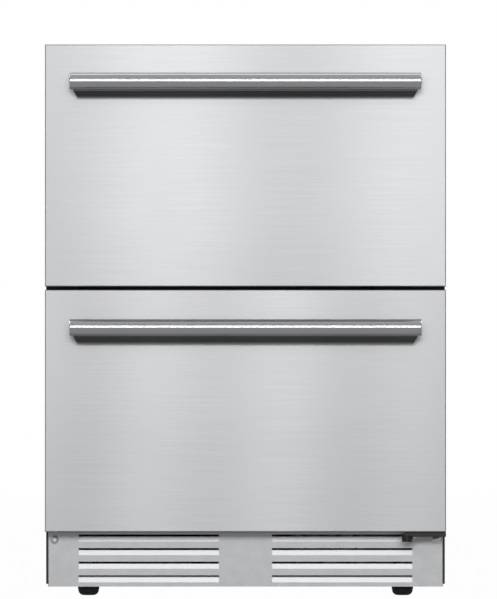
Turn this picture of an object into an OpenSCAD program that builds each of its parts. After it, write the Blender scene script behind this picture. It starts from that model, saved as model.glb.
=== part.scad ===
// Undercounter drawer refrigerator, two drawers, front breathing.
// Millimetres. +Z up, the drawer fronts face -Y, +X is the viewer's right.
// Origin: on the floor, at the middle of the plan outline (handles to rear cover).

/* [Fronts] */
// Width of each drawer front
front_w = 595; // [580:1:600]
// Height of each drawer front
front_h = 359; // [345:1:365]
// Thickness of each drawer front, face to inner panel
front_t = 45; // [38:1:60]
// Gap between the two drawer fronts
front_gap = 5; // [3:0.5:8]
// Height of the lower front's bottom edge above the floor
front_base_z = 97; // [94:1:110]
// Radius rolled along the edges of the steel face
edge_r = 1.5; // [1.2:0.1:4]
// Thickness of the steel face sheet
skin_t = 1; // [0.6:0.1:1.4]
// Thickness of the moulded inner panel
panel_t = 3; // [2:0.5:5]
// How far the inner panel's raised field reaches into the cabinet past the gasket
field_rise = 8; // [4:1:12]
// Inset of the raised field from the cavity walls
field_inset = 14; // [10:1:30]
// Width of the raised field's rim
field_rim = 16; // [8:1:40]

/* [Gasket] */
// Thickness of the magnetic gasket between front and cabinet
gasket_t = 10; // [8:0.5:14]
// Width of the gasket
gasket_w = 12; // [9:0.5:14]
// Inset of the gasket from the front's outer edge
gasket_inset = 8; // [6:0.5:12]

/* [Handles] */
// Diameter of the handle tube
tube_d = 25; // [18:0.5:30]
// Length of the handle tube
tube_l = 520; // [400:5:560]
// Distance from the face to the tube's axis
tube_reach = 47.5; // [40:0.5:60]
// Depth of the tube's axis below the top edge of the front
tube_drop = 55.5; // [45:0.5:90]
// Wall of the handle tube
tube_wall = 1.5; // [1:0.1:3]
// Drop of the bracket's front edge below the tube
web_drop = 10; // [6:0.5:14]
// Thickness of the bracket's web
web_t = 3; // [2:0.5:5]
// Inset of the bracket from the tube's ends, at its top
web_inset = 5; // [2:0.5:20]
// Slant of the bracket's ends, from top to bottom
web_slant = 6; // [0:0.5:15]
// Width of each handle post
post_w = 20; // [12:1:40]
// Inset of each post from the bracket's end
post_inset = 4; // [1:0.5:40]
// Diameter of a handle screw's shank
handle_screw_d = 5; // [4:0.5:6]

/* [Cabinet] */
// Width of the cabinet
cabinet_w = 594; // [580:1:600]
// Depth of the cabinet, from its front edge to the rear sheet
cabinet_d = 519; // [500:1:580]
// Step of the cabinet top below the upper front's top edge
top_step = 2; // [0:0.5:6]
// Height of the cabinet sides above the floor
side_lift = 18; // [16:1:20]
// Thickness of the cabinet's sheet metal
sheet_t = 1; // [0.6:0.1:1.5]
// Width of the folded flange at the sheet's front edge
flange_w = 7; // [5:0.5:8]
// Whole thickness of each side wall
side_wall = 45; // [38:1:50]
// Whole thickness of the top wall
top_wall = 45; // [35:1:55]
// Whole thickness of the rear wall
rear_wall = 52; // [40:1:60]
// Whole thickness of the floor and of the step's walls
floor_wall = 35; // [28:1:40]
// Thickness of the moulded inner liner
liner_t = 1.5; // [1:0.1:2.5]
// Thickness of the strips that cover the foam's front edge
strip_t = 3; // [2:0.5:5]
// Height of the rail between the two drawers
mullion_h = 54; // [50:1:58]
// Depth of the rail between the two drawers
mullion_d = 44; // [20:1:60]

/* [Machine compartment] */
// Depth of the compressor space behind the lower drawer
machine_d = 200; // [195:1:215]
// Height of the compressor space above the floor
machine_h = 290; // [270:1:310]
// Height that the rear cover stands proud of the cabinet
rear_cover_rise = 6; // [4:0.5:10]
// Height of the base pan above the floor
pan_z = 22; // [20:0.5:26]
// Thickness of the base pan
pan_t = 1.5; // [1:0.1:2.5]
// Diameter of the compressor's shell
compressor_d = 150; // [130:1:160]
// Height of the compressor's shell
compressor_h = 165; // [140:1:180]
// Diameter of the condenser fan
fan_d = 112; // [80:1:120]
// Diameter of the fan shafts
shaft_d = 4; // [3:0.5:6]
// Depth of the air space behind the evaporator cover
duct_d = 62; // [55:1:75]
// Diameter of the evaporator fan
cold_fan_d = 92; // [60:1:100]

/* [Kick plate] */
// Height of the kick plate's bottom edge above the floor
kick_z = 14; // [13:0.5:17]
// Inset of the kick plate's ends from the cabinet's sides
kick_inset = 3; // [1:0.5:8]
// Gap between the kick plate and the lower front
kick_gap = 2; // [1:0.5:6]
// Thickness of the kick plate
kick_t = 1; // [0.8:0.1:1.5]
// Depth of the kick plate's folded edges
kick_fold = 10; // [6:1:20]
// Length of each louvre
louvre_l = 209; // [120:1:225]
// Inset of each louvre bank from the middle of the plate
louvre_inset = 39.5; // [20:0.5:50]
// Pitch of the louvres
louvre_pitch = 20.25; // [18:0.25:21]
// Number of louvres in a bank
louvre_count = 4; // [2:1:4]
// Height of the open slit of a louvre
slit_h = 3.2; // [2:0.1:4]
// Height of the pressed ramp under a slit
ramp_h = 7.4; // [5:0.1:9]
// Depth of the pressed ramp behind the plate
ramp_d = 1.1; // [1.1:0.1:6]
// Diameter of the heads of the kick plate's screws
kick_screw_d = 12.6; // [8:0.1:14]
// Inset of the kick plate's screws from its ends
kick_screw_inset = 9.5; // [9:0.5:20]

/* [Feet] */
// Diameter of the foot at its top
foot_d = 32; // [26:1:40]
// Radius round the foot's lower edge
foot_r = 8; // [4:0.5:10]
// Distance of the feet from the cabinet's sides
foot_inset = 62.5; // [40:0.5:80]
// Distance of the feet from the cabinet's front and rear edges
foot_setback = 40; // [30:1:60]
// Height of the foot's plastic body
foot_h = 16; // [14:0.5:18]
// Number of ribs round a foot
foot_ribs = 20; // [12:1:30]

/* [Drawers] */
// Gap that a slide fills between the cavity wall and the bin
slide_t = 13; // [12.5:0.1:14]
// Height of a slide's outer member
slide_h = 45; // [42:1:50]
// Thickness of a slide's steel
slide_steel = 1.2; // [1:0.1:1.4]
// Travel of the upper drawer
upper_travel = 340; // [200:5:350]
// Travel of the lower drawer
lower_travel = 230; // [150:5:235]
// Height of the upper bin
upper_bin_h = 190; // [140:1:210]
// Height of the lower bin
lower_bin_h = 220; // [140:1:240]
// Thickness of a bin's walls
bin_t = 2; // [1.5:0.1:4]
// Clearance under each bin
bin_lift = 14; // [10:1:25]
// Clearance behind each bin
bin_back_gap = 14; // [8:1:40]
// Corner radius of the bins
bin_r = 14; // [6:1:30]
// Width of the rim round each bin
bin_rim = 8; // [4:0.5:10]
// Height of a slide's axis above its bin's floor
slide_rise = 70; // [40:1:90]

/* [Controls] */
// Width of the control housing under the ceiling
control_w = 180; // [140:1:240]
// Height of the control housing
control_h = 26; // [20:1:30]
// Depth of the control housing
control_d = 42; // [30:1:60]
// Diameter of the control buttons
button_d = 10; // [7:0.5:14]
// Spacing of the control buttons
button_pitch = 20; // [16:1:30]
// Travel of the control buttons
button_travel = 1.2; // [0.5:0.1:2]
// Length of the ceiling lamp
lamp_l = 220; // [100:5:300]

/* [Hidden] */

// Smoothness of round forms, and of small ones
$fn = 64;
small_fn = 24;
// Overshoot of a cut past the face that it opens
cut = 1;
// Running clearance of a shaft in its bearing, on the radius
bearing_gap = 0.06;
// Clearance of sliding and turning parts
run_gap = 0.4;
// Clearance of parts that are set into each other
fit_gap = 0.2;

// Drawers by number
LOWER = 0;
UPPER = 1;

// Heights
total_h = front_base_z + 2 * front_h + front_gap;
cabinet_top = total_h - top_step;
front_z = [front_base_z, front_base_z + front_h + front_gap];
gap_z = front_base_z + front_h + front_gap / 2;
mullion_z0 = gap_z - mullion_h / 2;
mullion_z1 = gap_z + mullion_h / 2;

// Depths, with the handles and the rear cover in the outline
handle_reach = tube_reach + tube_d / 2;
total_d = handle_reach + front_t + gasket_t + cabinet_d + rear_cover_rise;
face_y = -total_d / 2 + handle_reach;
front_back_y = face_y + front_t;
cabinet_y0 = front_back_y + gasket_t;
cabinet_y1 = cabinet_y0 + cabinet_d;
strip_y = cabinet_y0 + strip_t;

// Cavity inside the liner
cavity_x = cabinet_w / 2 - side_wall;
floor_z = front_base_z + floor_wall;
ceiling_z = cabinet_top - top_wall;
cavity_back_y = cabinet_y1 - rear_wall;
machine_y = cabinet_y1 - machine_d;
step_y = machine_y - floor_wall;
step_z = machine_h + floor_wall;
cover_y = cavity_back_y - duct_d;
foam_x = cavity_x + liner_t;
sheet_x = cabinet_w / 2 - sheet_t;
cavity_z = [[floor_z, mullion_z0], [mullion_z1, ceiling_z]];

// Fronts
core_x = front_w / 2 - skin_t;
panel_y = front_back_y - panel_t;
field_y = cabinet_y0 + field_rise;
field_x = cavity_x - field_inset;

// Bins and slides
bin_x = cavity_x - slide_t;
bin_y0 = field_y;
bin_y1 = [step_y - liner_t - bin_back_gap, cover_y - bin_back_gap];
bin_z = [floor_z + bin_lift, mullion_z1 + bin_lift];
bin_h = [lower_bin_h, upper_bin_h];
slide_y0 = cabinet_y0 + 12;
slide_z = [bin_z[LOWER] + slide_rise, bin_z[UPPER] + slide_rise];
ball_d = 3.2;
outer_lip = 9.5;
middle_x = 3;
middle_lip = 6.5;
middle_h = slide_h - 2 * slide_steel - 2 * (ball_d + 0.6);
inner_lip = 7;
inner_h = middle_h - 2 * slide_steel - 2 * (ball_d + 0.6);
ball_count = 6;

// Machine compartment
compressor_inset = 157;
compressor_x = -cabinet_w / 2 + compressor_inset;
compressor_y = machine_y + machine_d / 2 + 4;
grommet_x = 66;
grommet_y = 58;
grommet_d = 22;
grommet_h = 16;
compressor_z = pan_z + pan_t + grommet_h;
pan_x = sheet_x - fit_gap;
pan_y1 = cabinet_y1 - 2 * sheet_t;
fan_x = 18;
fan_y = compressor_y;
fan_rise = 78;
fan_z = pan_z + pan_t + fan_rise;
shroud_t = 12;
shroud_h = 148;
coil_pitch = 26;
coil_columns = 4;
coil_rows = 6;
coil_tube = 8;
coil_x = fan_x + 60;
coil_y = machine_y + 30;
coil_z = pan_z + pan_t;
coil_l = 134;
cold_fan_drop = 75;
cold_fan_z = ceiling_z - cold_fan_drop;
cold_fan_y = cover_y + 22;

// Kick plate
kick_w = cabinet_w - 2 * kick_inset;
kick_top = front_base_z - kick_gap;
kick_y = cabinet_y0 - kick_t;
first_slit_top = kick_top - 3.3;
kick_screw_x = kick_w / 2 - kick_screw_inset;
kick_screw_z = kick_top - 11;
kick_screw_l = 12;
kick_shank_d = 4;

// Feet
foot_x = cabinet_w / 2 - foot_inset;
foot_y = [cabinet_y0 + foot_setback, cabinet_y1 - foot_setback];
stem_d = 10;

// Handle bracket, seen from the side: y and z from the tube's axis
web_x = tube_l / 2 - web_inset;
post_x = web_x - web_slant - post_inset - post_w / 2;
handle_z = [front_z[LOWER] + front_h - tube_drop, front_z[UPPER] + front_h - tube_drop];

screw_drop = -8;
screw_l = 20;
screw_head_d = 10;
screw_head_h = 3;

// Controls
control_y = cabinet_y0 + 15;
button_out = 2;
button_l = 8;
button_z = ceiling_z - control_h / 2;

steel = "#d2d3d6";
dark_steel = "#8d8f93";
black = "#1c1c1e";
sheet_grey = "#3a3b3e";
foam_cream = "#e8dcae";
liner_white = "#e9eaec";
copper = "#b87346";
zinc = "#b9bcc0";

// A box given by its two corners
module block(low, high) {
    translate(low) cube(high - low);
}

// Rounded outline of a width and a depth, its two corners at y = 0 rounded by r
module nose_outline(w, d, r) {
    translate([-w / 2, r]) square([w, d - r]);
    translate([-w / 2 + r, 0]) square([w - 2 * r, d]);
    for (side = [-1, 1])
        translate([side * (w / 2 - r), r]) circle(r);
}

// Block from y = 0 back to d, whose four front edges are rounded by r
module nosed_block(w, h, d, r) {
    intersection() {
        linear_extrude(h) nose_outline(w, d, r);
        translate([-w / 2 - cut, 0, h / 2])
            rotate([90, 0, 90]) linear_extrude(w + 2 * cut)
                rotate(90) mirror([0, 1]) nose_outline(h, d, r);
    }
}

// Rectangle with round corners, centred
module round_rect(w, d, r) {
    square([w - 2 * r, d], center = true);
    square([w, d - 2 * r], center = true);
    for (sx = [-1, 1], sy = [-1, 1])
        translate([sx * (w / 2 - r), sy * (d / 2 - r)]) circle(r);
}

// Pipe of diameter d along straight runs between points, with ball joints at the bends
module pipe(points, d) {
    for (i = [0 : len(points) - 2]) {
        run = points[i + 1] - points[i];
        length = norm(run);
        translate(points[i])
            rotate([0, acos(run[2] / length), atan2(run[1], run[0])])
                cylinder(h = length, d = d, $fn = small_fn);
    }
    for (i = [1 : 1 : len(points) - 2])
        translate(points[i]) sphere(d = d, $fn = small_fn);
}

// ---------------------------------------------------------------- cabinet

// Painted steel sides, each with a flange folded in along its front edge
module side_panels() {
    color(sheet_grey)
    for (side = [-1, 1])
        mirror([side < 0 ? 1 : 0, 0, 0]) {
            block([sheet_x, cabinet_y0, side_lift], [cabinet_w / 2, cabinet_y1, cabinet_top]);
            block([sheet_x - flange_w, cabinet_y0, side_lift],
                  [sheet_x, cabinet_y0 + sheet_t, front_base_z - fit_gap]);
        }
}

// Steel top sheet between the sides, with a folded front edge
module top_panel() {
    color(sheet_grey) {
        block([-sheet_x, cabinet_y0, cabinet_top - sheet_t], [sheet_x, cabinet_y1, cabinet_top]);
    }
}

// Rear sheet above the machine compartment
module back_panel() {
    color(zinc)
    block([-sheet_x, cabinet_y1 - sheet_t, machine_h], [sheet_x, cabinet_y1, cabinet_top - sheet_t]);
}

// Pressed tray that carries the machinery, with upturned edges and screw posts for the kick plate
module base_pan() {
    edge_h = 14;
    post_w = 12;
    post_y = cabinet_y0 + 2 * sheet_t;
    front_y = cabinet_y0 + kick_fold + 2;
    boss_h = 3;
    color(zinc)
    difference() {
        union() {
            block([-pan_x, front_y, pan_z], [pan_x, pan_y1, pan_z + pan_t]);
            for (x = [-pan_x, pan_x - pan_t])
                block([x, front_y, pan_z], [x + pan_t, pan_y1, pan_z + edge_h]);
            for (y = [front_y, pan_y1 - pan_t])
                block([-pan_x, y, pan_z], [pan_x, y + pan_t, pan_z + edge_h]);
            for (side = [-1, 1])
                translate([side * kick_screw_x - post_w / 2, post_y, pan_z])
                    cube([post_w, front_y - post_y + pan_t, kick_top - 2 - pan_z]);
            for (sx = [-1, 1], y = foot_y)
                translate([sx * foot_x, y, pan_z]) cylinder(h = pan_t + boss_h, d = stem_d + 14);
        }
        for (sx = [-1, 1], y = foot_y)
            translate([sx * foot_x, y, pan_z - cut])
                cylinder(h = pan_t + boss_h + 2 * cut, d = stem_d + 2 * bearing_gap);
        for (side = [-1, 1])
            translate([side * kick_screw_x, cabinet_y0, kick_screw_z])
                rotate([-90, 0, 0])
                    cylinder(h = kick_screw_l + cut, d = kick_shank_d + 2 * fit_gap, $fn = small_fn);
        for (x = [-1, 1], y = [-1, 1])
            translate([compressor_x + x * grommet_x, compressor_y + y * grommet_y, pan_z - cut])
                cylinder(h = pan_t + 2 * cut, d = grommet_d / 2 + 2 * fit_gap, $fn = small_fn);
    }
}

// Foam of both side walls, cut away over the machine compartment
module insulation_sides() {
    outline = [
        [strip_y, front_base_z], [machine_y, front_base_z], [machine_y, machine_h],
        [cabinet_y1 - sheet_t, machine_h], [cabinet_y1 - sheet_t, cabinet_top - sheet_t],
        [strip_y, cabinet_top - sheet_t]
    ];
    color(foam_cream)
    for (x = [-sheet_x, foam_x])
        translate([x, 0, 0])
            rotate([90, 0, 90]) linear_extrude(sheet_x - foam_x) polygon(outline);
}

// Foam over the ceiling
module insulation_top() {
    color(foam_cream)
    block([-foam_x, strip_y, ceiling_z + liner_t], [foam_x, cabinet_y1 - sheet_t, cabinet_top - sheet_t]);
}

// Foam of the rear wall
module insulation_back() {
    color(foam_cream)
    block([-foam_x, cavity_back_y + liner_t, step_z - liner_t],
          [foam_x, cabinet_y1 - sheet_t, ceiling_z + liner_t]);
}

// Foam under the lower drawer
module insulation_floor() {
    color(foam_cream)
    block([-foam_x, strip_y, front_base_z], [foam_x, step_y, floor_z - liner_t]);
}

// Foam in front of and over the machine compartment
module insulation_step() {
    color(foam_cream) {
        block([-foam_x, step_y, front_base_z], [foam_x, machine_y, step_z - liner_t]);
        block([-foam_x, machine_y - cut, machine_h], [foam_x, cabinet_y1 - sheet_t, step_z - liner_t]);
    }
}

// Moulded liner: one shell round the whole cavity, stepped over the machine compartment
module inner_liner() {
    function stepped(grow) = [
        [strip_y, floor_z - grow], [step_y - liner_t + grow, floor_z - grow],
        [step_y - liner_t + grow, step_z - grow], [cavity_back_y + grow, step_z - grow],
        [cavity_back_y + grow, ceiling_z + grow], [strip_y, ceiling_z + grow]
    ];
    color(liner_white)
    difference() {
        translate([-foam_x, 0, 0])
            rotate([90, 0, 90]) linear_extrude(2 * foam_x) polygon(stepped(liner_t));
        translate([-cavity_x, 0, 0])
            rotate([90, 0, 90]) linear_extrude(2 * cavity_x)
                polygon([for (p = stepped(0)) [p[0] == strip_y ? strip_y - cut : p[0], p[1]]]);
    }
}

// Four plastic strips that close the foam's front edge round the cavity
module breaker_strips() {
    color(black) {
        for (side = [-1, 1])
            mirror([side < 0 ? 1 : 0, 0, 0])
                block([cavity_x, cabinet_y0, front_base_z], [sheet_x, strip_y, cabinet_top - sheet_t]);
        block([-cavity_x + fit_gap, cabinet_y0, ceiling_z],
              [cavity_x - fit_gap, strip_y, cabinet_top - sheet_t]);
        block([-cavity_x + fit_gap, cabinet_y0, front_base_z],
              [cavity_x - fit_gap, strip_y, floor_z]);
    }
}

// Rail across the cavity that both gaskets close on, its front edges rounded
module mullion() {
    color(black)
    translate([0, cabinet_y0, mullion_z0])
        intersection() {
            translate([-cavity_x + fit_gap, 0, 0]) cube([2 * (cavity_x - fit_gap), mullion_d, mullion_h]);
            translate([-cavity_x, 0, mullion_h / 2])
                rotate([90, 0, 90]) linear_extrude(2 * cavity_x)
                    rotate(90) mirror([0, 1]) nose_outline(mullion_h, mullion_d, 2);
        }
}

// Stainless kick plate with two banks of louvres pressed inwards, top and bottom edges folded back
module kick_plate() {
    opening_h = slit_h + ramp_h;
    fold_x = sheet_x - flange_w - 1;
    banks = [-louvre_inset - louvre_l, louvre_inset];
    color(steel)
    union() {
        difference() {
            translate([0, 0, kick_z]) linear_extrude(kick_top - kick_z) round_edged_sheet();
            for (x = banks, i = [0 : louvre_count - 1])
                translate([x, kick_y - cut, first_slit_top - i * louvre_pitch - opening_h])
                    cube([louvre_l, kick_t + 2 * cut, opening_h]);
            for (side = [-1, 1])
                translate([side * kick_screw_x, kick_y - cut, kick_screw_z])
                    rotate([-90, 0, 0]) cylinder(h = kick_t + 2 * cut, d = 5, $fn = small_fn);
        }
        for (x = banks, i = [0 : louvre_count - 1])
            translate([x, 0, first_slit_top - i * louvre_pitch - opening_h]) louvre();
        for (z = [kick_z, kick_top - kick_t])
            block([-fold_x, cabinet_y0, z], [fold_x, cabinet_y0 + kick_fold, z + kick_t]);
    }
}

// Plan of the kick plate's sheet, its two front corners rounded over its thickness
module round_edged_sheet() {
    flat_x = kick_w / 2 - kick_t;
    translate([-flat_x, kick_y]) square([2 * flat_x, kick_t]);
    for (side = [-1, 1])
        translate([side * flat_x, cabinet_y0])
            intersection() {
                circle(r = kick_t);
                translate([-kick_t, -kick_t]) square([2 * kick_t, kick_t]);
            }
}

// One louvre's ramp, with a cheek at each end, up to the slit above it
module louvre() {
    rotate([90, 0, 90]) linear_extrude(louvre_l)
        polygon([
            [kick_y, 0], [kick_y + ramp_d, ramp_h], [cabinet_y0 + ramp_d, ramp_h], [cabinet_y0, 0]
        ]);
    for (x = [-kick_t, louvre_l])
        translate([x, 0, 0])
            rotate([90, 0, 90]) linear_extrude(kick_t)
                polygon([[cabinet_y0, 0], [cabinet_y0 + ramp_d, ramp_h], [cabinet_y0, ramp_h + slit_h]]);
}

// Two pan-head screws with cross recesses
module kick_plate_screws() {
    head_h = 3.4;
    dome_r = 11;
    recess_l = 5.2;
    recess_w = 1;
    recess_d = 1.6;
    color(steel)
    for (side = [-1, 1])
        translate([side * kick_screw_x, kick_y, kick_screw_z])
            rotate([90, 0, 0])
                difference() {
                    union() {
                        rotate_extrude()
                            intersection() {
                                translate([0, head_h - dome_r]) circle(r = dome_r);
                                square([kick_screw_d / 2, head_h]);
                            }
                        translate([0, 0, -kick_screw_l])
                            cylinder(h = kick_screw_l, d = kick_shank_d, $fn = small_fn);
                    }
                    for (turn = [45, 135])
                        rotate(turn) translate([-recess_l / 2, -recess_w / 2, head_h - recess_d])
                            cube([recess_l, recess_w, recess_d + cut]);
                }
}

// Black steel bracket under the lower drawer's right corner, with a round boss at its inner end
module corner_bracket() {
    bracket_w = 61.5;
    outer_x = front_w / 2;
    inner_x = outer_x - bracket_w;
    reach = kick_y - face_y - 2;
    plate_h = 5;
    lip_h = 6.6;
    boss_d = 15;
    boss_h = 12;
    top = front_base_z - 0.8;
    color(black) {
        block([inner_x, kick_y - reach, top - plate_h], [outer_x, kick_y, top]);
        block([inner_x + 10, kick_y - reach, top - lip_h], [outer_x, kick_y - reach + 4, top]);
        translate([inner_x + boss_d / 4, kick_y - reach + boss_d / 2, top - 2 - boss_h])
            cylinder(h = boss_h, d = boss_d);
    }
}

// Sheet that keeps the cold intake air apart from the warm outlet air under the floor
module air_divider() {
    color(zinc)
    block([-sheet_t / 2, cabinet_y0 + kick_fold + 4, pan_z + pan_t],
          [sheet_t / 2, machine_y - 2, front_base_z]);
}

// ---------------------------------------------------------------- machinery

// Hermetic compressor: welded pot on four ears, with its terminal box
module compressor() {
    seam_h = 4;
    ear_t = 3;
    ear_w = 30;
    ear_r = 12;
    dome_r = 38;
    box_w = 46;
    box_d = 26;
    box_h = 50;
    color(black)
    difference() {
        union() {
            translate([compressor_x, compressor_y, compressor_z]) {
                rotate_extrude()
                    intersection() {
                        translate([0, compressor_h / 2]) round_rect(compressor_d, compressor_h, dome_r);
                        square([compressor_d, compressor_h]);
                    }
                translate([0, 0, compressor_h * 0.52]) cylinder(h = seam_h, d = compressor_d + 8);
                translate([-box_w / 2, -compressor_d / 2 - box_d + 8, compressor_h * 0.16])
                    cube([box_w, box_d, box_h]);
            }
            for (sx = [-1, 1])
                translate([compressor_x + sx * grommet_x, compressor_y, compressor_z])
                    linear_extrude(ear_t) round_rect(ear_w, 2 * grommet_y + ear_w, ear_r);
            translate([compressor_x - grommet_x, compressor_y - ear_w, compressor_z])
                cube([2 * grommet_x, 2 * ear_w, ear_t]);
        }
        for (sx = [-1, 1], sy = [-1, 1])
            translate([compressor_x + sx * grommet_x, compressor_y + sy * grommet_y, compressor_z - cut])
                cylinder(h = ear_t + 2 * cut, d = 8, $fn = small_fn);
    }
}

// Rubber grommets between the compressor's ears and the base pan
module compressor_grommets() {
    waist_h = 5;
    color(black)
    for (sx = [-1, 1], sy = [-1, 1])
        translate([compressor_x + sx * grommet_x, compressor_y + sy * grommet_y, pan_z + pan_t])
            difference() {
                union() {
                    cylinder(h = (grommet_h - waist_h) / 2, d = grommet_d);
                    cylinder(h = grommet_h, d = grommet_d - 6);
                    translate([0, 0, (grommet_h + waist_h) / 2])
                        cylinder(h = (grommet_h - waist_h) / 2, d = grommet_d);
                }
                translate([0, 0, -cut]) cylinder(h = grommet_h + 2 * cut, d = 6.4, $fn = small_fn);
            }
}

// Return bend of a coil, of radius pitch / 2, its ends facing -Y and set apart along Z.
// It is drawn thinner than the tubes that it is brazed into.
module return_bend(pitch, tube) {
    rotate([0, 90, 0])
        rotate_extrude(angle = 180, $fn = small_fn)
            translate([pitch / 2, 0]) circle(d = tube - 1, $fn = small_fn);
}

// Finned coil: straight tubes along Y through plate fins, joined in one run by return bends.
// Its corner is at the origin; columns stand along X and rows along Z.
module finned_coil(length, columns, rows, pitch, tube, fins, fin_t) {
    fin_gap = (length - fin_t) / (fins - 1);
    stub = pitch / 4;
    for (i = [0 : fins - 1])
        translate([0, i * fin_gap, 0]) cube([columns * pitch, fin_t, rows * pitch]);
    for (c = [0 : columns - 1], r = [0 : rows - 1])
        translate([(c + 0.5) * pitch, -stub, (r + 0.5) * pitch])
            rotate([-90, 0, 0]) cylinder(h = length + 2 * stub, d = tube, $fn = small_fn);
    for (c = [0 : columns - 1], r = [0 : rows - 2])
        translate([(c + 0.5) * pitch, r % 2 == 0 ? length + stub : -stub, (r + 1) * pitch])
            rotate([r % 2 == 0 ? 0 : 180, 0, 0]) return_bend(pitch, tube);
    for (c = [0 : columns - 2])
        translate([(c + 1) * pitch, -stub, (c % 2 == 0 ? 0.5 : rows - 0.5) * pitch])
            rotate([180, 90, 0]) return_bend(pitch, tube);
}

// Condenser beside its fan
module condenser() {
    color(zinc)
    translate([coil_x, coil_y, coil_z])
        finned_coil(coil_l, coil_columns, coil_rows, coil_pitch, coil_tube, 20, 0.8);
}

// Moulded shroud that holds the condenser fan's ring
module fan_shroud() {
    ring_d = fan_d + 8;
    color(black)
    translate([fan_x, fan_y, fan_z])
        rotate([90, 0, 90])
            difference() {
                union() {
                    translate([-shroud_h / 2, -fan_z + pan_z + pan_t, 0])
                        cube([shroud_h, fan_z - pan_z - pan_t + shroud_h / 2, 3]);
                    cylinder(h = shroud_t, d = ring_d + 6);
                }
                translate([0, 0, -cut]) cylinder(h = shroud_t + 2 * cut, d = ring_d);
            }
}

// Small motor on three arms fixed to the shroud's ring
module condenser_fan_motor() {
    body_d = 44;
    body_l = 26;
    body_z = 6;
    arm_w = 8;
    arm_t = 4;
    arm_z = body_z + 2;
    ring_r = fan_d / 2 + 7;
    root_r = body_d / 2 - 3;
    color(dark_steel)
    translate([fan_x + shroud_t, fan_y, fan_z])
        rotate([90, 0, 90])
            difference() {
                union() {
                    translate([0, 0, body_z]) cylinder(h = body_l, d = body_d);
                    for (turn = [90, 210, 330])
                        rotate(turn) {
                            translate([root_r, -arm_w / 2, arm_z]) cube([ring_r - root_r, arm_w, arm_t]);
                            translate([ring_r - arm_t, -arm_w / 2, 0]) cube([arm_t, arm_w, arm_z + cut]);
                        }
                }
                translate([0, 0, body_z - cut])
                    cylinder(h = body_l - 2, d = shaft_d + 2 * bearing_gap);
            }
}

// Propeller about +Z: hub, pitched blades inside diameter d, and its shaft
module propeller(d, hub_d, hub_h, blades, pitch_angle, shaft_l) {
    intersection() {
        translate([0, 0, -hub_h]) cylinder(h = 3 * hub_h, d = d);
        union()
            for (i = [0 : blades - 1])
                rotate(i * 360 / blades)
                    translate([0, 0, hub_h / 2])
                        rotate([pitch_angle, 0, 0])
                            translate([hub_d / 2 - 3, -d * 0.15, -0.6]) cube([d / 2, d * 0.3, 1.2]);
    }
    cylinder(h = hub_h, d = hub_d);
    cylinder(h = shaft_l, d = shaft_d);
}

// Condenser fan, pushed onto the motor's shaft inside the ring
module condenser_fan() {
    hub_d = 34;
    hub_h = 16;
    blades = 5;
    blade_pitch = 32;
    set_back = 4;
    shaft_l = set_back + shroud_t + 20;
    color(zinc)
    translate([fan_x - set_back, fan_y, fan_z])
        rotate([90, 0, 90]) propeller(fan_d, hub_d, hub_h, blades, blade_pitch, shaft_l);
}

// Tray over the compressor that dries off the defrost water
module drip_tray() {
    tray_w = 168;
    tray_d = 150;
    tray_h = 30;
    wall = 2;
    color(black)
    translate([compressor_x, compressor_y, compressor_z + compressor_h])
        difference() {
            linear_extrude(tray_h) round_rect(tray_w, tray_d, 12);
            translate([0, 0, wall])
                linear_extrude(tray_h) round_rect(tray_w - 2 * wall, tray_d - 2 * wall, 10);
        }
}

// Copper lines: hot gas to the condenser, liquid up through its drier, and suction back down
module refrigerant_lines() {
    line_d = 6;
    drier_d = 18;
    drier_l = 60;
    shell_r = compressor_d / 2 + 0.1;
    stub = 14;
    gas_z = compressor_z + 40;
    suction_z = compressor_z + 60;
    end_z = coil_z + (coil_rows - 0.5) * coil_pitch;
    end_y = coil_y - coil_pitch / 4;
    line_y = end_y - 10;
    gas_x = compressor_x + shell_r + stub;
    first_x = coil_x + coil_pitch / 2;
    last_x = first_x + (coil_columns - 1) * coil_pitch;
    liquid_x = last_x + coil_pitch + 5;
    suction_x = compressor_x - shell_r - stub;
    color(copper) {
        pipe([
            [compressor_x + shell_r, compressor_y, gas_z], [gas_x, compressor_y, gas_z],
            [gas_x, line_y, gas_z], [coil_x - stub, line_y, gas_z], [coil_x - stub, line_y, end_z],
            [first_x, line_y, end_z], [first_x, end_y, end_z]
        ], line_d);
        pipe([
            [last_x, end_y, end_z], [last_x, line_y, end_z], [liquid_x, line_y, end_z],
            [liquid_x, line_y, machine_h]
        ], line_d);
        translate([liquid_x, line_y, machine_h - 1.5 * drier_l]) cylinder(h = drier_l, d = drier_d);
        pipe([
            [compressor_x - shell_r, compressor_y, suction_z], [suction_x, compressor_y, suction_z],
            [suction_x, compressor_y, machine_h]
        ], line_d);
    }
}

// Evaporator behind its cover, over the step
module evaporator() {
    length = 360;
    columns = 2;
    rows = 7;
    pitch = 24;
    near_y = cover_y + 8;
    lift = 20;
    plate_t = 1.5;
    color(steel) {
        translate([length / 2, near_y, step_z + lift])
            rotate([0, 0, 90]) finned_coil(length, columns, rows, pitch, coil_tube, 28, 0.6);
        for (x = [-length / 2, length / 2 - plate_t])
            block([x, near_y, step_z], [x + plate_t, near_y + columns * pitch, step_z + lift + pitch]);
    }
}

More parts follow.
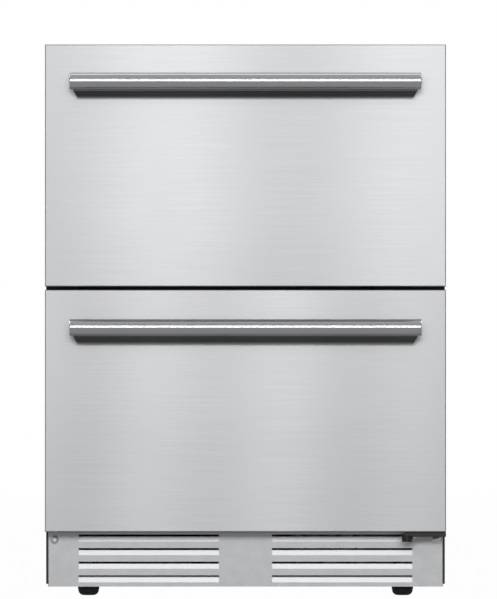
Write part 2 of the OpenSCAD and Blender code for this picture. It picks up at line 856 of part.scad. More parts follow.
// Plate in front of the evaporator, with a guarded fan opening above and return slots below
module evaporator_cover() {
    cover_t = 2;
    ring_pitch = 9;
    ring_slot = 5.4;
    hub_r = 16;
    spoke_w = 4;
    slot_w = 26;
    slot_h = 7;
    slot_pitch = 35;
    row_pitch = 14;
    first_row = 24;
    color(liner_white)
    translate([0, cover_y, 0])
    difference() {
        block([-cavity_x, 0, step_z], [cavity_x, cover_t, ceiling_z]);
        for (r = [hub_r : ring_pitch : cold_fan_d / 2])
            translate([0, cover_t + cut, cold_fan_z])
                rotate([90, 0, 0]) linear_extrude(cover_t + 2 * cut)
                    difference() {
                        circle(r = r + ring_slot);
                        circle(r = r);
                        for (turn = [0 : 60 : 120])
                            rotate(turn) square([2 * cold_fan_d, spoke_w], center = true);
                    }
        for (i = [-6 : 6], j = [0 : 2])
            translate([i * slot_pitch - slot_w / 2, -cut, step_z + first_row + j * row_pitch])
                cube([slot_w, cover_t + 2 * cut, slot_h]);
    }
}

// Evaporator fan's motor on a bracket behind the cover
module evaporator_fan_motor() {
    body_d = 40;
    body_l = 18;
    arm_w = 8;
    arm_t = 3;
    arm_gap = 12;
    ring_r = cold_fan_d / 2 + arm_gap;
    root_r = body_d / 2 - 3;
    back = 28;
    arm_z = back + 2;
    color(dark_steel)
    translate([0, cover_y + 2, cold_fan_z])
        rotate([-90, 0, 0])
            difference() {
                union() {
                    translate([0, 0, back]) cylinder(h = body_l, d = body_d);
                    for (turn = [45 : 90 : 315])
                        rotate(turn) {
                            translate([root_r, -arm_w / 2, arm_z]) cube([ring_r - root_r, arm_w, arm_t]);
                            translate([ring_r - arm_t, -arm_w / 2, 0]) cube([arm_t, arm_w, arm_z + cut]);
                        }
                }
                translate([0, 0, back - cut])
                    cylinder(h = body_l - 2, d = shaft_d + 2 * bearing_gap);
            }
}

// Evaporator fan between the cover and its motor
module evaporator_fan() {
    hub_d = 28;
    hub_h = 14;
    blades = 7;
    blade_pitch = 30;
    shaft_l = 32;
    set_back = 10;
    color(liner_white)
    translate([0, cover_y + set_back, cold_fan_z])
        rotate([-90, 0, 0]) propeller(cold_fan_d, hub_d, hub_h, blades, blade_pitch, shaft_l);
}

// Pressed cover over the machine compartment, with rows of air slots
module rear_cover() {
    half_w = cabinet_w / 2 - 4;
    low_z = side_lift + 8;
    high_z = machine_h + 10;
    margin = 26;
    raised_w = 2 * (half_w - margin);
    raised_h = high_z - low_z - 2 * margin;
    corner_r = 12;
    rows = 8;
    columns = 8;
    slot_l = 44;
    slot_w = 5;
    slot_inset = 15;
    pitch_x = (raised_w - 2 * slot_inset) / columns;
    pitch_z = (raised_h - 2 * slot_inset) / (rows - 1);
    color(zinc)
    difference() {
        union() {
            block([-half_w, cabinet_y1, low_z], [half_w, cabinet_y1 + sheet_t, high_z]);
            translate([0, cabinet_y1 + sheet_t, (low_z + high_z) / 2])
                rotate([-90, 0, 0])
                    linear_extrude(rear_cover_rise - sheet_t) round_rect(raised_w, raised_h, corner_r);
        }
        translate([0, cabinet_y1 - cut, (low_z + high_z) / 2])
            rotate([-90, 0, 0])
                linear_extrude(rear_cover_rise - sheet_t + cut)
                    round_rect(raised_w - 2 * sheet_t, raised_h - 2 * sheet_t, corner_r - sheet_t);
        for (c = [0 : columns - 1], r = [0 : rows - 1])
            translate([(c - (columns - 1) / 2) * pitch_x, cabinet_y1,
                       low_z + margin + slot_inset + r * pitch_z])
                rotate([-90, 0, 0])
                    linear_extrude(2 * rear_cover_rise) round_rect(slot_l, slot_w, slot_w / 2 - 0.01);
    }
}

// Moulded inlet for the mains lead, set in the rear cover's margin
module power_inlet() {
    inlet_x = -cabinet_w / 2 + 4 + 14;
    color(black)
    translate([inlet_x, cabinet_y1 + sheet_t, side_lift + 60])
        rotate([-90, 0, 0])
            difference() {
                cylinder(h = rear_cover_rise - sheet_t, d = 22);
                translate([0, 0, 1.5]) cylinder(h = rear_cover_rise, d = 9);
            }
}

// ---------------------------------------------------------------- controls

// Housing under the ceiling, with a display window and three button wells
module control_module() {
    well_d = button_d + 2 * run_gap;
    well_l = button_l + button_travel + run_gap;
    window_w = 56;
    window_h = 14;
    color(black)
    difference() {
        translate([-control_w / 2, control_y, ceiling_z - control_h])
            cube([control_w, control_d, control_h]);
        for (i = [0 : 2])
            translate([button_x(i), control_y - cut, button_z])
                rotate([-90, 0, 0]) cylinder(h = well_l + cut, d = well_d);
        translate([-control_w / 2 + 14, control_y - cut, button_z - window_h / 2])
            cube([window_w, cut + 1, window_h]);
    }
}

function button_x(i) = 10 + i * button_pitch;

// Button cap in its well, standing out of the housing
module button_cap(i) {
    translate([button_x(i), control_y - button_out, button_z])
        rotate([-90, 0, 0]) {
            translate([0, 0, 1]) cylinder(h = button_out + button_l - 1, d = button_d);
            cylinder(h = 1, d1 = button_d - 1.6, d2 = button_d);
        }
}

module power_button() {
    color(steel) button_cap(0);
}

module warmer_button() {
    color(steel) button_cap(1);
}

module cooler_button() {
    color(steel) button_cap(2);
}

// Diffuser strip of the lamp on the ceiling, behind the controls
module ceiling_lamp() {
    lamp_d = 22;
    lamp_drop = 9;
    color("white")
    translate([-lamp_l / 2, control_y + control_d + 12, ceiling_z])
        rotate([90, 0, 90]) linear_extrude(lamp_l)
            intersection() {
                translate([0, -lamp_drop]) square([lamp_d, lamp_drop]);
                translate([lamp_d / 2, 6]) circle(r = lamp_drop + 6);
            }
}

// ---------------------------------------------------------------- feet

// Levelling foot: ribbed plastic body, lock nut and threaded stem
module foot(side, row) {
    nut_h = pan_z - foot_h - run_gap;
    stem_top = pan_z + pan_t + 14;
    rib_d = 2.4;
    bowl_d = foot_d - rib_d / 2;
    color(black)
    translate([side * foot_x, foot_y[row], 0]) {
        rotate_extrude()
            intersection() {
                union() {
                    square([bowl_d / 2 - foot_r, foot_h]);
                    translate([0, foot_r]) square([bowl_d / 2, foot_h - foot_r]);
                    translate([bowl_d / 2 - foot_r, foot_r]) circle(foot_r);
                }
                square([bowl_d / 2, foot_h]);
            }
        for (i = [0 : foot_ribs - 1])
            rotate(i * 360 / foot_ribs)
                translate([foot_d / 2 - rib_d / 2, 0, foot_r + 1])
                    cylinder(h = foot_h - foot_r - 2, d = rib_d, $fn = small_fn);
        translate([0, 0, foot_h]) cylinder(h = nut_h, d = 19, $fn = 6);
        cylinder(h = stem_top, d = stem_d);
    }
}

module foot_front_left() { foot(-1, 0); }
module foot_front_right() { foot(1, 0); }
module foot_rear_left() { foot(-1, 1); }
module foot_rear_right() { foot(1, 1); }

// ---------------------------------------------------------------- slides

// C channel of height h along Y: its web at x = 0, its lips towards +X
module channel(y0, y1, h, lip) {
    translate([0, y0, 0])
        rotate([-90, 0, 0]) linear_extrude(y1 - y0)
            difference() {
                translate([0, -h / 2]) square([lip, h]);
                translate([slide_steel, -h / 2 + slide_steel]) square([lip, h - 2 * slide_steel]);
            }
}

// Strip of balls in their retainer along Y
module ball_strip(y0, y1) {
    retainer_w = 2;
    retainer_h = 1;
    margin = 8;
    pitch = (y1 - y0 - 2 * margin) / (ball_count - 1);
    translate([-retainer_w / 2, y0, -retainer_h / 2]) cube([retainer_w, y1 - y0, retainer_h]);
    for (i = [0 : ball_count - 1])
        translate([0, y0 + margin + i * pitch, 0]) sphere(d = ball_d, $fn = small_fn);
}

// Places a slide's members against the left and right cavity walls, at a drawer's height
module both_sides(drawer) {
    for (side = [-1, 1])
        mirror([side > 0 ? 1 : 0, 0, 0])
            translate([-cavity_x, 0, slide_z[drawer]]) children();
}

// Outer members screwed to the cavity walls
module cabinet_slides() {
    color(zinc)
    for (drawer = [LOWER, UPPER])
        both_sides(drawer) channel(slide_y0, bin_y1[drawer], slide_h, outer_lip);
}

// Middle members with their ball strips
module middle_slides(drawer) {
    outer_race = middle_h / 2 + (slide_h / 2 - slide_steel - middle_h / 2) / 2;
    inner_race = inner_h / 2 + (middle_h / 2 - slide_steel - inner_h / 2) / 2;
    y0 = slide_y0;
    y1 = bin_y1[drawer];
    strip_l = (y1 - y0) * 0.45;
    color(steel)
    both_sides(drawer) {
        translate([middle_x, 0, 0]) channel(y0, y1, middle_h, middle_lip);
        for (sz = [-1, 1]) {
            translate([middle_x + middle_lip / 2, 0, sz * outer_race]) ball_strip(y1 - strip_l, y1);
            translate([middle_x + middle_lip - 1, 0, sz * inner_race]) ball_strip(y0, y0 + strip_l);
        }
    }
}

// Inner members screwed to the bin's sides
module bin_slides(drawer) {
    color(zinc)
    both_sides(drawer)
        translate([slide_t, 0, 0]) mirror([1, 0, 0]) channel(slide_y0, bin_y1[drawer], inner_h, inner_lip);
}

// ---------------------------------------------------------------- drawers

// Stainless face: sheet folded back round all four edges, over a rolled radius
module face(drawer) {
    color(steel)
    translate([0, face_y, front_z[drawer]])
        difference() {
            nosed_block(front_w, front_h, front_t, edge_r);
            translate([0, skin_t, skin_t])
                nosed_block(front_w - 2 * skin_t, front_h - 2 * skin_t, front_t, edge_r - skin_t);
            for (side = [-1, 1])
                translate([side * post_x, -cut, handle_z[drawer] - front_z[drawer] + screw_drop])
                    rotate([-90, 0, 0])
                        cylinder(h = skin_t + 2 * cut, d = handle_screw_d + 2 * fit_gap, $fn = small_fn);
        }
}

// Foam core of a front, with pockets for the handle screws' heads
module front_foam(drawer) {
    color(foam_cream)
    translate([0, face_y, front_z[drawer]])
        difference() {
            translate([0, skin_t, skin_t])
                nosed_block(2 * core_x, front_h - 2 * skin_t, front_t - skin_t - panel_t, edge_r - skin_t);
            for (side = [-1, 1])
                translate([side * post_x, 0, handle_z[drawer] - front_z[drawer] + screw_drop])
                    rotate([-90, 0, 0])
                        cylinder(h = skin_t + screw_head_h + fit_gap, d = screw_head_d + 2 * fit_gap,
                                 $fn = small_fn);
        }
}

// Moulded inner panel with a raised field that fills the cavity's mouth
module inner_panel(drawer) {
    low = cavity_z[drawer][0] + field_inset;
    high = cavity_z[drawer][1] - field_inset;
    dish = field_rise + gasket_t - 3;
    color(liner_white)
    difference() {
        union() {
            block([-core_x, panel_y, front_z[drawer] + skin_t],
                  [core_x, front_back_y, front_z[drawer] + front_h - skin_t]);
            translate([0, 0, (low + high) / 2]) rotate([90, 0, 0])
                translate([0, 0, -field_y])
                    linear_extrude(field_y - front_back_y) round_rect(2 * field_x, high - low, 10);
        }
        translate([0, 0, (low + high) / 2]) rotate([90, 0, 0])
            translate([0, 0, -field_y - cut])
                linear_extrude(dish + cut)
                    round_rect(2 * (field_x - field_rim), high - low - 2 * field_rim, 8);
    }
}

// Magnetic gasket: one frame with a hollow bellows along each side
module gasket(drawer) {
    low = front_z[drawer] + gasket_inset;
    high = front_z[drawer] + front_h - gasket_inset;
    outer_x = front_w / 2 - gasket_inset;
    groove = 3;
    color(sheet_grey)
    difference() {
        block([-outer_x, front_back_y, low], [outer_x, cabinet_y0, high]);
        block([-outer_x + gasket_w, front_back_y - cut, low + gasket_w],
              [outer_x - gasket_w, cabinet_y0 + cut, high - gasket_w]);
        difference() {
            block([-outer_x - cut, front_back_y + groove, low - cut],
                  [outer_x + cut, cabinet_y0 - groove, high + cut]);
            block([-outer_x + groove, front_back_y, low + groove],
                  [outer_x - groove, cabinet_y0, high - groove]);
        }
    }
}

// Brushed stainless tube with closed ends
module handle(drawer) {
    chamfer = 1;
    color(dark_steel)
    translate([-tube_l / 2, face_y - tube_reach, handle_z[drawer]])
        rotate([90, 0, 90])
            rotate_extrude()
                difference() {
                    polygon([
                        [0, 0], [tube_d / 2 - chamfer, 0], [tube_d / 2, chamfer],
                        [tube_d / 2, tube_l - chamfer], [tube_d / 2 - chamfer, tube_l], [0, tube_l]
                    ]);
                    translate([0, 3]) square([tube_d / 2 - tube_wall, tube_l - 6]);
                }
}

// Dark bracket from under the tube back to the face: a bent web with slanted ends, and two posts
module handle_bracket(drawer) {
    r = tube_d / 2;
    low = -r - web_drop;
    post_top = 6;
    saddle = 0.1;
    bend_y = 22;
    color(black)
    translate([0, face_y - tube_reach, handle_z[drawer]])
        difference() {
            intersection() {
                union() {
                    rotate([90, 0, 90]) translate([0, 0, -tube_l / 2]) linear_extrude(tube_l)
                        polygon([
                            [2, -r + 2], [r - 2, -r + 4], [bend_y + 1, low + web_t],
                            [tube_reach, low + web_t], [tube_reach, low], [bend_y, low], [2, -r - 2]
                        ]);
                    for (side = [-1, 1])
                        rotate([90, 0, 90]) translate([0, 0, side * post_x - post_w / 2])
                            linear_extrude(post_w) polygon([
                                [4, -r], [4, 0], [r, post_top], [tube_reach, post_top],
                                [tube_reach, low], [bend_y, low]
                            ]);
                }
                translate([0, 2 * tube_reach, 0])
                    rotate([90, 0, 0]) linear_extrude(4 * tube_reach)
                        polygon([
                            [-web_x, post_top + cut], [web_x, post_top + cut],
                            [web_x, -r], [web_x - web_slant, low - cut],
                            [-web_x + web_slant, low - cut], [-web_x, -r]
                        ]);
            }
            translate([-tube_l, 0, 0]) rotate([0, 90, 0]) cylinder(h = 2 * tube_l, r = r + saddle);
            for (side = [-1, 1])
                translate([side * post_x, tube_reach + cut, screw_drop])
                    rotate([90, 0, 0])
                        cylinder(h = screw_l + cut, d = handle_screw_d + 2 * fit_gap, $fn = small_fn);
        }
}

// Screws that hold the posts from behind the face
module handle_screws(drawer) {
    color(zinc)
    for (side = [-1, 1])
        translate([side * post_x, face_y + skin_t, handle_z[drawer] + screw_drop]) {
            rotate([-90, 0, 0]) cylinder(h = screw_head_h, d = screw_head_d, $fn = small_fn);
            rotate([90, 0, 0]) cylinder(h = skin_t + screw_l - 2, d = handle_screw_d, $fn = small_fn);
        }
}

// Open bin: rounded corners, and a rim along its sides and back
module bin(drawer) {
    d = bin_y1[drawer] - bin_y0;
    h = bin_h[drawer];
    rim_t = 3;
    color(liner_white)
    translate([0, (bin_y0 + bin_y1[drawer]) / 2, bin_z[drawer]])
        difference() {
            union() {
                linear_extrude(h) round_rect(2 * bin_x, d, bin_r);
                translate([0, 0, h - rim_t])
                    intersection() {
                        linear_extrude(rim_t)
                            round_rect(2 * (bin_x + bin_rim), d + 2 * bin_rim, bin_r + bin_rim);
                        translate([-front_w, -d / 2, 0]) cube([2 * front_w, 2 * d, rim_t]);
                    }
            }
            translate([0, 0, bin_t])
                linear_extrude(h) round_rect(2 * (bin_x - bin_t), d - 2 * bin_t, bin_r - bin_t);
        }
}

module upper_face() { face(UPPER); }
module upper_foam() { front_foam(UPPER); }
module upper_inner_panel() { inner_panel(UPPER); }
module upper_gasket() { gasket(UPPER); }
module upper_handle() { handle(UPPER); }
module upper_handle_bracket() { handle_bracket(UPPER); }
module upper_handle_screws() { handle_screws(UPPER); }
module upper_bin() { bin(UPPER); }
module upper_bin_slides() { bin_slides(UPPER); }
module upper_middle_slides() { middle_slides(UPPER); }

module lower_face() { face(LOWER); }
module lower_foam() { front_foam(LOWER); }
module lower_inner_panel() { inner_panel(LOWER); }
module lower_gasket() { gasket(LOWER); }
module lower_handle() { handle(LOWER); }
module lower_handle_bracket() { handle_bracket(LOWER); }
module lower_handle_screws() { handle_screws(LOWER); }
module lower_bin() { bin(LOWER); }
module lower_bin_slides() { bin_slides(LOWER); }
module lower_middle_slides() { middle_slides(LOWER); }

side_panels();
top_panel();
back_panel();
base_pan();
insulation_sides();
insulation_top();
insulation_back();
insulation_floor();
insulation_step();
inner_liner();
breaker_strips();
mullion();
kick_plate();
kick_plate_screws();
corner_bracket();
air_divider();
compressor();
compressor_grommets();
condenser();
fan_shroud();
condenser_fan_motor();
condenser_fan();
drip_tray();
refrigerant_lines();
evaporator();
evaporator_cover();
evaporator_fan_motor();
evaporator_fan();
rear_cover();
power_inlet();
control_module();
power_button();
warmer_button();
cooler_button();
ceiling_lamp();
cabinet_slides();
foot_front_left();
foot_front_right();
foot_rear_left();
foot_rear_right();
upper_face();
upper_foam();
upper_inner_panel();
upper_gasket();
upper_handle();
upper_handle_bracket();
upper_handle_screws();
upper_bin();
upper_bin_slides();
upper_middle_slides();
lower_face();
lower_foam();
lower_inner_panel();
lower_gasket();
lower_handle();
lower_handle_bracket();
lower_handle_screws();
lower_bin();
lower_bin_slides();
lower_middle_slides();
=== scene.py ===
# An undercounter refrigerator with two drawers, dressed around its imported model.
# Metres, in the frame of the model: +Z up, the drawer fronts face -Y.
import math

import bmesh
import bpy
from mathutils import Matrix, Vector


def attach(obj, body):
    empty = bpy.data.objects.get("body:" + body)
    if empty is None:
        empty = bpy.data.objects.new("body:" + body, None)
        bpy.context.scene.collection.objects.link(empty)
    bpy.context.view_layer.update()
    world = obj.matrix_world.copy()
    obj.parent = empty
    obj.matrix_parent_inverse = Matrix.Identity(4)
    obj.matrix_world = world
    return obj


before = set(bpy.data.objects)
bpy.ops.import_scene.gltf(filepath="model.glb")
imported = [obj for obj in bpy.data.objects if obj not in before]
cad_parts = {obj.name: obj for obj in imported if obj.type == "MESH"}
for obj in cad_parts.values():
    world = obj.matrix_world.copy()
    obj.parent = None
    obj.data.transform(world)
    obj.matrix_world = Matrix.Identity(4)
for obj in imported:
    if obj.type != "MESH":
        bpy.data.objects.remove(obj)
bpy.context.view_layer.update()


# ---- Outer cabinet: side, top and rear sheets ----
# Cold-rolled sheet, folded at the front and powder coated black outside; the rear sheet and the base
# are galvanised, fixed with rows of zinc-plated pan-head screws, added here with Geometry Nodes.
def linear(hex_colour):
    """An sRGB hex colour as the linear colour that a shader takes."""
    parts = [int(hex_colour[i:i + 2], 16) / 255 for i in (1, 3, 5)]
    return tuple(p / 12.92 if p <= 0.04045 else ((p + 0.055) / 1.055) ** 2.4 for p in parts) + (1.0,)


def add(tree, kind, inputs=(), **settings):
    """Adds a node to a tree, sets its properties, and sets or links its inputs."""
    node = tree.nodes.new(kind)
    for name, value in settings.items():
        setattr(node, name, value)
    for name, value in dict(inputs).items():
        if isinstance(value, bpy.types.NodeSocket):
            tree.links.new(value, node.inputs[name])
        else:
            node.inputs[name].default_value = value
    return node


def finish_named(name, shine):
    """A new material with one shader, whose constant sockets are set; returns material, tree, shader."""
    material = bpy.data.materials.new(name)
    material.use_nodes = True
    tree = material.node_tree
    shader = tree.nodes["Principled BSDF"]
    for socket, value in shine.items():
        shader.inputs[socket].default_value = value
    return material, tree, shader


def grain(tree, scale, detail=4.0, roughness=0.55, distortion=0.0):
    """Noise over the object's own coordinates; scale is in features per metre along x, y and z."""
    place = add(tree, "ShaderNodeTexCoord")
    spread = add(tree, "ShaderNodeMapping", {"Vector": place.outputs["Object"], "Scale": scale})
    return add(tree, "ShaderNodeTexNoise", {
        "Vector": spread.outputs["Vector"], "Scale": 1.0, "Detail": detail,
        "Roughness": roughness, "Distortion": distortion}).outputs["Fac"]


def blend_colours(tree, factor, low, high, span=(0.3, 0.7)):
    """A colour that goes from low to high as a factor crosses a span."""
    ramp = add(tree, "ShaderNodeValToRGB", {"Fac": factor})
    for stop, position, colour in zip(ramp.color_ramp.elements, span, (low, high)):
        stop.position = position
        stop.color = linear(colour)
    return ramp.outputs["Color"]


def tint(tree, shader, factor, low, high, span=(0.3, 0.7)):
    """A base colour that goes from low to high with a factor."""
    tree.links.new(blend_colours(tree, factor, low, high, span), shader.inputs["Base Color"])


def roughen(tree, shader, factor, low, high):
    """A roughness that goes from low to high with a factor of 0 to 1."""
    spread = add(tree, "ShaderNodeMapRange", {"Value": factor, "To Min": low, "To Max": high})
    tree.links.new(spread.outputs["Result"], shader.inputs["Roughness"])


def relief(tree, shader, height, depth, strength=1.0):
    """Bump of a real depth in metres on a shader."""
    bump = add(tree, "ShaderNodeBump", {"Height": height, "Strength": strength, "Distance": depth})
    tree.links.new(bump.outputs["Normal"], shader.inputs["Normal"])


def dress(material, *nodes):
    """Gives CAD nodes a finish."""
    for name in nodes:
        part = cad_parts[name]
        if not part.material_slots:
            part.data.materials.append(material)
        for slot in part.material_slots:
            slot.material = material


coat, tree, shader = finish_named("black powder coat", {"Metallic": 0.0, "IOR": 1.5})
peel = grain(tree, (900, 900, 900), detail=2)
patches = grain(tree, (9, 9, 9))
tint(tree, shader, patches, "#17181a", "#1f2022")
roughen(tree, shader, patches, 0.34, 0.46)
relief(tree, shader, peel, 0.00004, 0.5)
dress(coat, "side_panels", "top_panel")

zinc, tree, shader = finish_named("hot-dip galvanised sheet", {"Metallic": 1.0})
place = add(tree, "ShaderNodeTexCoord")
spangle = add(tree, "ShaderNodeTexVoronoi", {
    "Vector": place.outputs["Object"], "Scale": 190.0, "Randomness": 1.0})
tone = add(tree, "ShaderNodeSeparateColor", {"Color": spangle.outputs["Color"]}).outputs["Red"]
tint(tree, shader, tone, "#a6a8ab", "#b0b2b5", (0.0, 1.0))
roughen(tree, shader, tone, 0.42, 0.48)
relief(tree, shader, grain(tree, (240, 240, 240)), 0.00003, 0.4)
dress(zinc, "back_panel", "base_pan", "rear_cover", "air_divider")


def closed_mesh(name, corners, faces):
    """A mesh from corners and faces, with every face turned outward."""
    mesh = bpy.data.meshes.new(name)
    mesh.from_pydata(corners, [], faces)
    work = bmesh.new()
    work.from_mesh(mesh)
    bmesh.ops.recalc_face_normals(work, faces=work.faces)
    work.to_mesh(mesh)
    work.free()
    return mesh


def pan_head(name, width, height, side=1):
    """A pan-head screw's head: domed, with an eight-sided well, facing side * Y; sunk 0.2 mm for contact."""
    radius = width / 2
    profile = [(r, y * side) for r, y in (
        (radius, -0.0002), (radius, height * 0.35), (radius * 0.86, height * 0.72),
        (radius * 0.6, height * 0.93), (radius * 0.3, height))]
    steps = 32
    corners = [(r * math.cos(a), y, r * math.sin(a)) for r, y in profile
               for a in (-2 * math.pi * i / steps for i in range(steps))]
    faces = [(k + i, k + (i + 1) % steps, k + steps + (i + 1) % steps, k + steps + i)
             for k in range(0, (len(profile) - 1) * steps, steps) for i in range(steps)]
    well = len(corners)
    corners += [(radius * 0.3 * math.cos(-a), side * height * 0.45, radius * 0.3 * math.sin(-a))
                for a in (math.pi / 4 * i for i in range(8))]
    last = (len(profile) - 1) * steps
    stride = steps // 8
    faces += [tuple([last + (stride * i + j) % steps for j in range(stride + 1)]
                    + [well + (i + 1) % 8, well + i]) for i in range(8)]
    faces += [tuple(well + i for i in range(8)), tuple(reversed(range(steps)))]
    return closed_mesh(name, corners, faces)


def repeated(name, unit_mesh, material, body, start, across, up=(1, (0, 0, 0))):
    """Lays a mesh out in a grid with Geometry Nodes and bakes the result as one piece on a body."""
    unit = bpy.data.objects.new(name + "_unit", unit_mesh)
    bpy.context.scene.collection.objects.link(unit)
    tree = bpy.data.node_groups.new(name + " grid", "GeometryNodeTree")
    sockets = {}
    for label, kind in (("Unit", "NodeSocketObject"), ("Finish", "NodeSocketMaterial"),
                        ("Start", "NodeSocketVector"), ("Columns", "NodeSocketInt"),
                        ("Column step", "NodeSocketVector"), ("Rows", "NodeSocketInt"),
                        ("Row step", "NodeSocketVector")):
        sockets[label] = tree.interface.new_socket(label, in_out="INPUT", socket_type=kind).identifier
    tree.interface.new_socket("Geometry", in_out="OUTPUT", socket_type="NodeSocketGeometry")
    given = add(tree, "NodeGroupInput").outputs
    row = add(tree, "GeometryNodeMeshLine", {"Count": given["Rows"], "Start Location": given["Start"],
                                             "Offset": given["Row step"]})
    line = add(tree, "GeometryNodeMeshLine", {"Count": given["Columns"], "Offset": given["Column step"]})
    rows = add(tree, "GeometryNodeInstanceOnPoints", {"Points": row.outputs["Mesh"],
                                                      "Instance": line.outputs["Mesh"]})
    grid = add(tree, "GeometryNodeRealizeInstances", {"Geometry": rows.outputs["Instances"]})
    shape = add(tree, "GeometryNodeObjectInfo", {"Object": given["Unit"]})
    units = add(tree, "GeometryNodeInstanceOnPoints", {"Points": grid.outputs["Geometry"],
                                                       "Instance": shape.outputs["Geometry"]})
    whole = add(tree, "GeometryNodeRealizeInstances", {"Geometry": units.outputs["Instances"]})
    coloured = add(tree, "GeometryNodeSetMaterial", {"Geometry": whole.outputs["Geometry"],
                                                     "Material": given["Finish"]})
    add(tree, "NodeGroupOutput", {"Geometry": coloured.outputs["Geometry"]})
    host = bpy.data.objects.new(name + "_host", bpy.data.meshes.new(name + "_host"))
    bpy.context.scene.collection.objects.link(host)
    layout = host.modifiers.new("grid", "NODES")
    layout.node_group = tree
    for label, value in (("Unit", unit), ("Finish", material), ("Start", start), ("Columns", across[0]),
                         ("Column step", across[1]), ("Rows", up[0]), ("Row step", up[1])):
        layout[sockets[label]] = value
    graph = bpy.context.evaluated_depsgraph_get()
    mesh = bpy.data.meshes.new_from_object(host.evaluated_get(graph))
    host.modifiers.remove(layout)
    piece = bpy.data.objects.new(name, mesh)
    bpy.context.scene.collection.objects.link(piece)
    for helper in (host, unit):
        bpy.data.objects.remove(helper)
    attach(piece, body)
    return piece


screw_zinc, tree, shader = finish_named("bright zinc-plated screw", {"Metallic": 1.0})
tint(tree, shader, grain(tree, (300, 300, 300)), "#b9bcc0", "#d3d6da")
roughen(tree, shader, grain(tree, (500, 500, 500)), 0.25, 0.4)
head = pan_head("pan_head", 0.0072, 0.0022)
row_x = 0.28
row_pitch = 0.112
sheet_y = 0.314
cover_y = sheet_y + 0.001
cover_low_z = 0.034
cover_rise = 0.258
side_x = 0.288
repeated("rear_cover_screws", head, screw_zinc, "cabinet", (-row_x, cover_y, cover_low_z),
         (6, (row_pitch, 0, 0)), (2, (0, 0, cover_rise)))
repeated("rear_cover_side_screws", head, screw_zinc, "cabinet",
         (-row_x, cover_y, cover_low_z + cover_rise / 3),
         (2, (2 * row_x, 0, 0)), (2, (0, 0, cover_rise / 3)))
repeated("back_panel_top_screws", head, screw_zinc, "cabinet", (-row_x, sheet_y, 0.806),
         (6, (row_pitch, 0, 0)))
repeated("back_panel_side_screws", head, screw_zinc, "cabinet", (-side_x, sheet_y, 0.36),
         (2, (2 * side_x, 0, 0)), (4, (0, 0, 0.115)))


# ---- Foam, liner and breaker strips ----
# Polyurethane foam poured between the sheets and the liner, a vacuum-formed polystyrene liner, and
# black ABS strips over the foam's front edge. Foam shows cells; the liner is white with a soft gloss.
foam, tree, shader = finish_named("rigid polyurethane foam", {"Roughness": 0.9, "IOR": 1.45})
place = add(tree, "ShaderNodeTexCoord")
cells = add(tree, "ShaderNodeTexVoronoi", {"Vector": place.outputs["Object"], "Scale": 600.0})
tint(tree, shader, grain(tree, (30, 30, 30)), "#d8c68c", "#e6d9a8")
relief(tree, shader, cells.outputs["Distance"], 0.0004, 0.6)
dress(foam, "insulation_sides", "insulation_top", "insulation_back", "insulation_floor",
      "insulation_step", "upper_foam", "lower_foam")

liner, tree, shader = finish_named("white polystyrene liner", {"IOR": 1.59})
film = grain(tree, (14, 14, 14))
tint(tree, shader, film, "#dfe1e3", "#e8eaec")
roughen(tree, shader, film, 0.28, 0.4)
relief(tree, shader, grain(tree, (700, 700, 700), detail=2), 0.000005, 0.3)
dress(liner, "inner_liner", "evaporator_cover", "upper_inner_panel", "lower_inner_panel",
      "evaporator_fan")

abs_black, tree, shader = finish_named("black moulded ABS", {"IOR": 1.53})
tint(tree, shader, grain(tree, (25, 25, 25)), "#111213", "#191a1b")
roughen(tree, shader, grain(tree, (60, 60, 60)), 0.42, 0.58)
relief(tree, shader, grain(tree, (1500, 1500, 1500), detail=2), 0.00004, 0.5)
dress(abs_black, "breaker_strips", "mullion", "fan_shroud", "drip_tray", "power_inlet",
      "control_module", "foot_front_left", "foot_front_right", "foot_rear_left", "foot_rear_right")


# ---- Machinery ----
# A steel compressor pot in black enamel on rubber grommets, aluminium-finned coils, copper lines, and
# small shaded-pole fan motors. The coils get their fine fin packs, pressed on the tubes, added here.
enamel, tree, shader = finish_named("black baked enamel", {
    "IOR": 1.5, "Coat Weight": 0.3, "Coat Roughness": 0.2})
tint(tree, shader, grain(tree, (20, 20, 20)), "#141415", "#1d1d1f")
roughen(tree, shader, grain(tree, (45, 45, 45)), 0.3, 0.45)
relief(tree, shader, grain(tree, (500, 500, 500), detail=2), 0.00005, 0.5)
# The handle brackets are black webs. The strip of each web below its tube is painted shadow: a dark part
# where the tube's shadow falls.
dress(enamel, "compressor", "corner_bracket", "upper_handle_bracket", "lower_handle_bracket")

rubber, tree, shader = finish_named("black EPDM rubber", {
    "IOR": 1.52, "Sheen Weight": 0.15, "Sheen Roughness": 0.5})
tint(tree, shader, grain(tree, (50, 50, 50)), "#161616", "#202021")
roughen(tree, shader, grain(tree, (90, 90, 90)), 0.62, 0.8)
relief(tree, shader, grain(tree, (900, 900, 900), detail=2), 0.00005, 0.6)
dress(rubber, "compressor_grommets")

fins, tree, shader = finish_named("bare aluminium fin stock", {"Metallic": 1.0})
tint(tree, shader, grain(tree, (200, 20, 200)), "#b5b8bc", "#d0d2d5")
roughen(tree, shader, grain(tree, (80, 80, 80)), 0.25, 0.42)
dress(fins, "condenser", "evaporator")


def sheet_mesh(name, low, high):
    """A thin flat sheet between two opposite corners."""
    (x0, y0, z0), (x1, y1, z1) = low, high
    corners = [(x, y, z) for z in (z0, z1) for x, y in ((x0, y0), (x1, y0), (x1, y1), (x0, y1))]
    return closed_mesh(name, corners, [(0, 3, 2, 1), (4, 5, 6, 7), (0, 1, 5, 4), (1, 2, 6, 5), (2, 3, 7, 6),
                                       (3, 0, 4, 7)])


